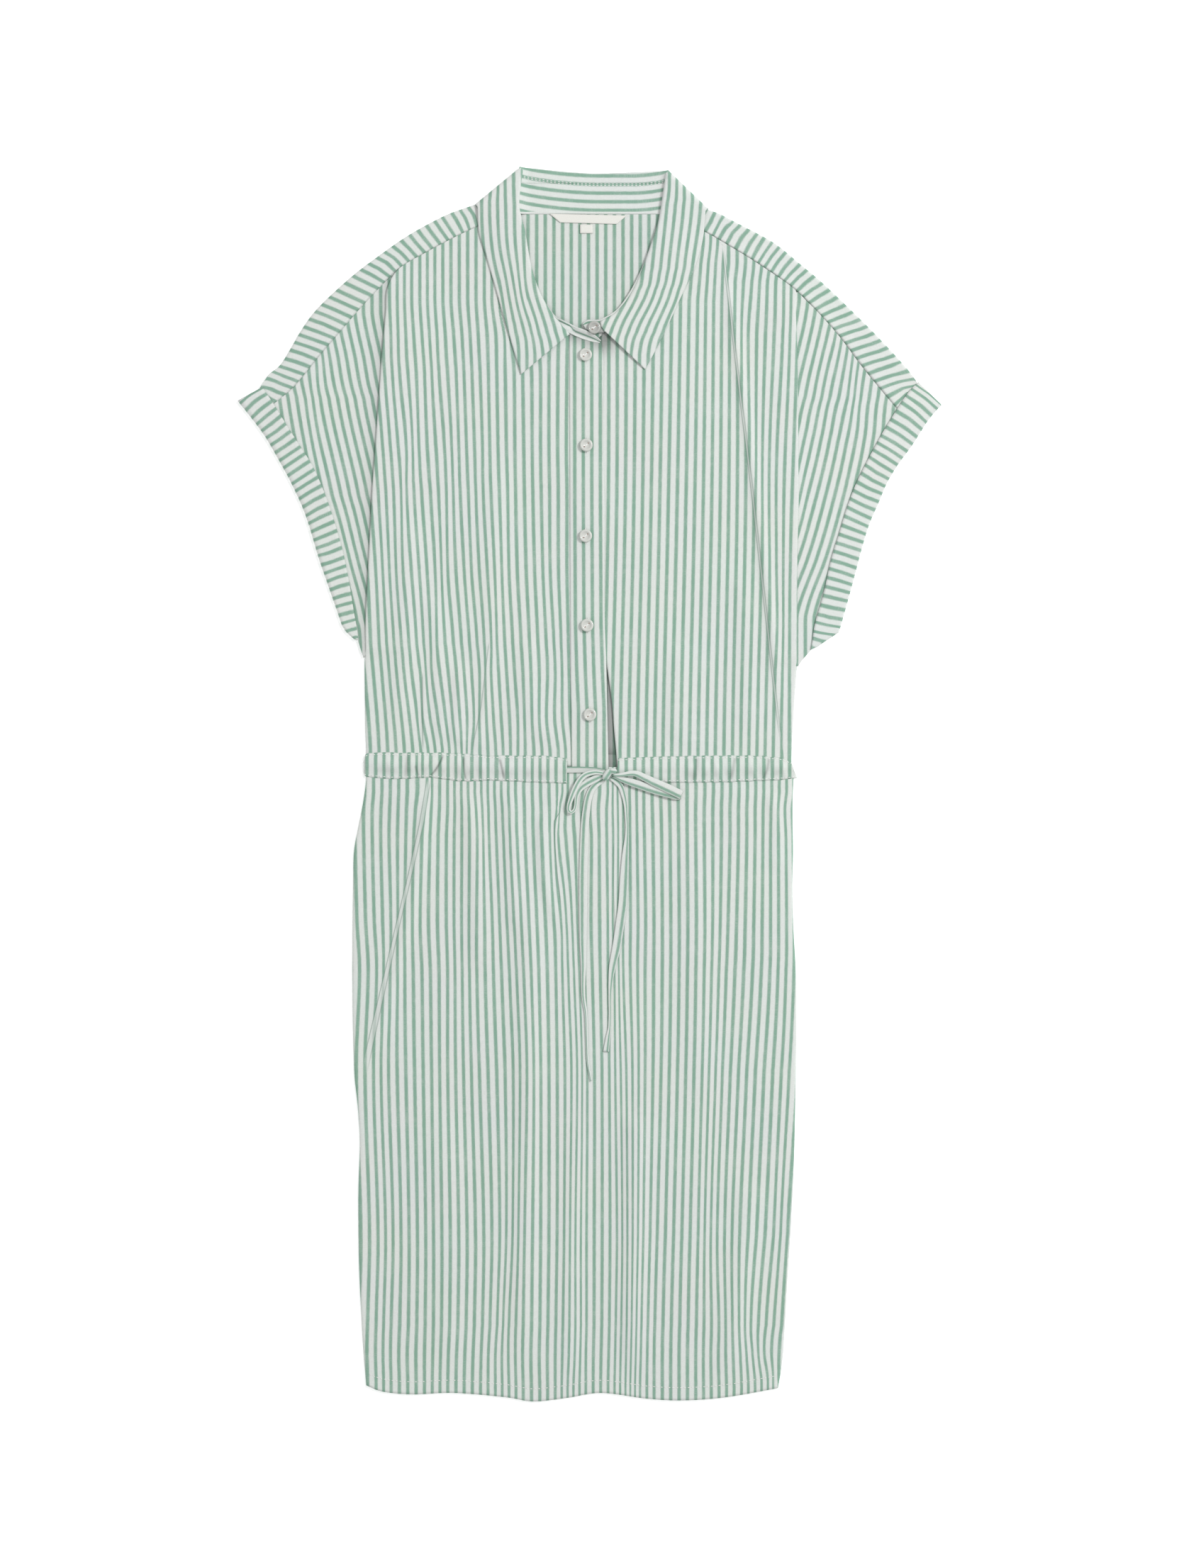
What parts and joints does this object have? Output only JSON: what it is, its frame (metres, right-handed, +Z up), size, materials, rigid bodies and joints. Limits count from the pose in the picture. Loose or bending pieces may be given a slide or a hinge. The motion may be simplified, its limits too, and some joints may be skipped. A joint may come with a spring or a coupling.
{
  "type": "shirt dress",
  "caption": "Short-sleeved striped cotton shirt dress laid flat on its back, collar folded, buttoned, with a drawstring bow at the waist.",
  "frame": {"origin": "on the surface the dress lies on, under the middle of its length and width", "axes": "+Y from the hem to the neck, +X to the viewer's right, +Z up out of the front"},
  "size_m": [0.5465, 0.9579, 0.0102],
  "materials": {
    "striped_cotton": "matt",
    "back_cotton": "matt",
    "drawstring_cloth": "matt",
    "pearl_button": "gloss",
    "label_cloth": "matt"
  },
  "bodies": {
    "root": {"back_bodice": "back_cotton", "back_skirt": "back_cotton", "button_1": "pearl_button", "button_2": "pearl_button", "button_3": "pearl_button", "button_4": "pearl_button", "button_5": "pearl_button", "button_stand": "pearl_button", "collar_back": "back_cotton", "collar_stand_back": "striped_cotton", "collar_stand_left": "striped_cotton", "collar_stand_right": "striped_cotton", "collar_wing_left": "striped_cotton", "collar_wing_right": "striped_cotton", "cuff_left_back": "back_cotton", "cuff_left_front": "striped_cotton", "cuff_right_back": "back_cotton", "cuff_right_front": "striped_cotton", "drawstring_knot": "drawstring_cloth", "drawstring_loop_left": "drawstring_cloth", "drawstring_loop_right": "drawstring_cloth", "drawstring_strap": "drawstring_cloth", "drawstring_tail_left": "drawstring_cloth", "drawstring_tail_right": "drawstring_cloth", "front_left": "striped_cotton", "front_right": "striped_cotton", "neck_label": "label_cloth", "placket_band": "striped_cotton", "size_tab": "label_cloth", "skirt_front": "striped_cotton", "sleeve_left": "striped_cotton", "sleeve_right": "striped_cotton", "waist_channel_back": "back_cotton", "waist_channel_left": "striped_cotton", "waist_channel_right": "striped_cotton", "yoke_left": "striped_cotton", "yoke_right": "striped_cotton"}
  },
  "joints": []
}
